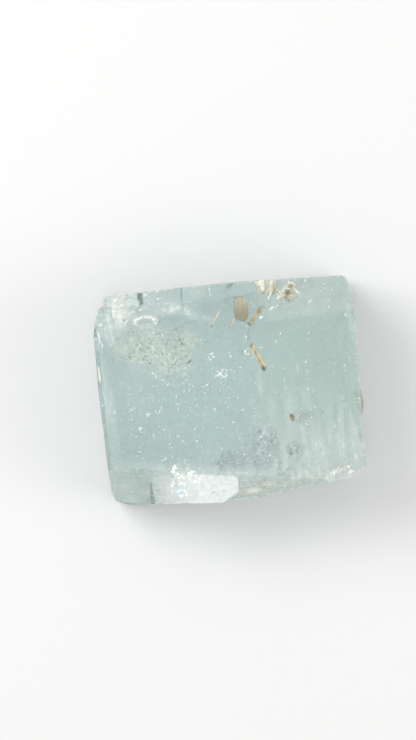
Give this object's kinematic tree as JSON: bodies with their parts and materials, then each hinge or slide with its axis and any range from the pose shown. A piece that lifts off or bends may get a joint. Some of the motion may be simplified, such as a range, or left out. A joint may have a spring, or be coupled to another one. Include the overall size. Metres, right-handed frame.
{
  "type": "aquamarine crystal",
  "caption": "Stubby six-sided aquamarine crystal with flat faces, lying on its back, with small mica flakes and albite tufts grown into it.",
  "frame": {"origin": "middle of the bounding box, at the height of the back face that the crystal lies on", "axes": "+X across the broad front face to its right, +Y along the crystal's long (c) axis towards the end with the albite tufts, +Z out of the broad front face"},
  "size_m": [0.0437, 0.0362, 0.02],
  "materials": {
    "beryl": "natural crystal faces, glassy to frosted, pale blue-green",
    "mica_plate": "translucent brown-pink mica flake, pearly",
    "mica_gold": "golden-brown mica, pearly",
    "mica_olive": "olive-brown mica, pearly",
    "albite": "cream-white, satin"
  },
  "bodies": {
    "root": {"aquamarine_crystal": "beryl", "mica_plate": "mica_plate", "mica_needle": "mica_gold", "mica_blade_upper": "mica_olive", "mica_blade_lower": "mica_gold", "mica_fleck": "mica_olive", "mica_book_right": "mica_gold", "albite_cluster_left": "albite", "albite_cluster_right": "albite", "albite_flake_left": "albite"}
  },
  "joints": []
}
